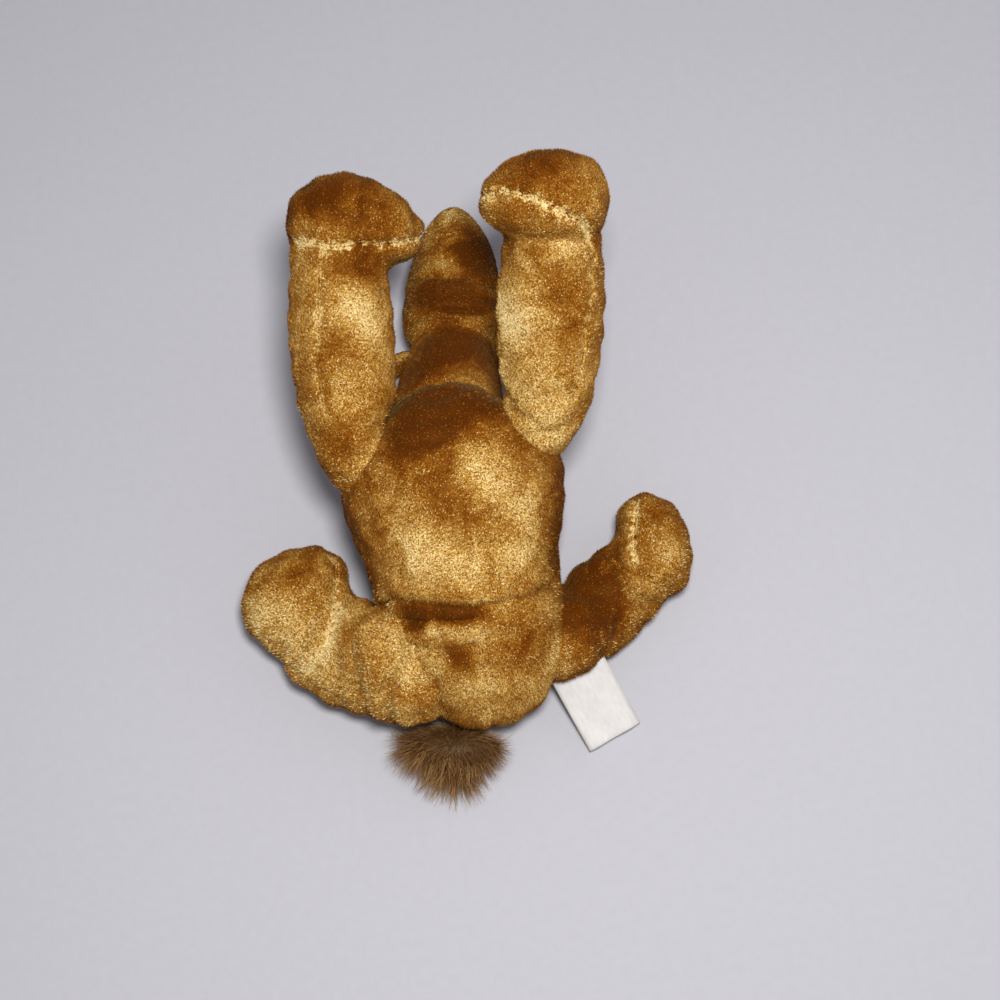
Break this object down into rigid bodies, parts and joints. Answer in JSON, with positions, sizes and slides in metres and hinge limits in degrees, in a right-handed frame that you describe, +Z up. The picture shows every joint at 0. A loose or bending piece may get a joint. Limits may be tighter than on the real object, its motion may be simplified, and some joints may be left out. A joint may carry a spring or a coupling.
{
  "type": "plush camel",
  "caption": "Bean-bag plush camel in gold short-pile velour, lying on its back with limp legs, a brown fur tail tuft and a plain sewn-in satin label.",
  "frame": {"origin": "on the floor under the middle of the camel's outline", "axes": "+Z up, +Y from the tail towards the head, +X towards the camel's own left; it lies on its back, belly up"},
  "size_m": [0.1568, 0.216, 0.1144],
  "materials": {
    "plush": "short-pile gold velour with a strong sheen",
    "long_pile_fur": "brown long-pile faux fur",
    "label_satin": "off-white woven satin, bare",
    "eye_plastic": "glossy near-black",
    "washer_plastic": "natural white",
    "fibre_filling": "polyester fibre",
    "pellet_filling": "loose plastic pellets"
  },
  "bodies": {
    "torso": {"torso_left": "plush", "torso_right": "plush", "torso_pellets": "pellet_filling", "torso_fibre": "fibre_filling"},
    "neck_body": {"neck_left": "plush", "neck_right": "plush", "neck_fibre": "fibre_filling"},
    "head_body": {"eye_left": "eye_plastic", "eye_washer_left": "washer_plastic", "head_left": "plush", "eye_right": "eye_plastic", "eye_washer_right": "washer_plastic", "head_right": "plush", "head_fibre": "fibre_filling", "forelock": "long_pile_fur"},
    "ear_left_body": {"ear_lining_left": "plush", "ear_outer_left": "plush"},
    "ear_right_body": {"ear_lining_right": "plush", "ear_outer_right": "plush"},
    "foreleg_left_body": {"foreleg_left_upper": "plush", "foreleg_left_lower": "plush", "foreleg_left_pellets": "pellet_filling"},
    "foreleg_right_body": {"foreleg_right_upper": "plush", "foreleg_right_lower": "plush", "foreleg_right_pellets": "pellet_filling"},
    "hindleg_left_body": {"hindleg_left_upper": "plush", "hindleg_left_lower": "plush", "hindleg_left_pellets": "pellet_filling"},
    "label_body": {"label": "label_satin"},
    "hindleg_right_body": {"hindleg_right_upper": "plush", "hindleg_right_lower": "plush", "hindleg_right_pellets": "pellet_filling"},
    "tail_body": {"tail_tuft": "long_pile_fur", "tail_root": "plush"}
  },
  "joints": [
    {"name": "neck_bend", "type": "hinge", "parent": "torso", "child": "neck_body", "pos_m": [0.00378, 0.01134, 0.03678], "axis": [1, 0, 0], "range_deg": [-10, 14]},
    {"name": "head_nod", "type": "hinge", "parent": "neck_body", "child": "head_body", "pos_m": [0.00378, 0.05333, 0.01679], "axis": [1, 0, 0], "range_deg": [-10, 14]},
    {"name": "ear_left_flap", "type": "hinge", "parent": "head_body", "child": "ear_left_body", "pos_m": [0.01657, 0.05153, 0.00879], "axis": [0, 0, 1], "range_deg": [-15, 25]},
    {"name": "ear_right_flap", "type": "hinge", "parent": "head_body", "child": "ear_right_body", "pos_m": [-0.00912, 0.05422, 0.00879], "axis": [0, 0, -1], "range_deg": [-15, 25]},
    {"name": "foreleg_left_swing", "type": "hinge", "parent": "torso", "child": "foreleg_left_body", "pos_m": [0.03278, 0.00074, 0.05421], "axis": [1, 0, 0], "range_deg": [-12, 30]},
    {"name": "foreleg_right_swing", "type": "hinge", "parent": "torso", "child": "foreleg_right_body", "pos_m": [-0.03422, -0.00208, 0.05318], "axis": [1, 0, 0], "range_deg": [-12, 30]},
    {"name": "hindleg_left_splay", "type": "hinge", "parent": "torso", "child": "hindleg_left_body", "pos_m": [0.02578, -0.06879, 0.01719], "axis": [0, 0, -1], "range_deg": [-6, 24]},
    {"name": "label_flap", "type": "hinge", "parent": "hindleg_left_body", "child": "label_body", "pos_m": [0.03378, -0.0699, 0.01147], "axis": [-0.8798, -0.4753, 0], "range_deg": [-20, 20]},
    {"name": "hindleg_right_splay", "type": "hinge", "parent": "torso", "child": "hindleg_right_body", "pos_m": [-0.01822, -0.07255, 0.01583], "axis": [0, 0, 1], "range_deg": [-6, 24]},
    {"name": "tail_swing", "type": "hinge", "parent": "torso", "child": "tail_body", "pos_m": [-0.00122, -0.07605, 0.00497], "axis": [0, 0, 1], "range_deg": [-10, 15]}
  ]
}
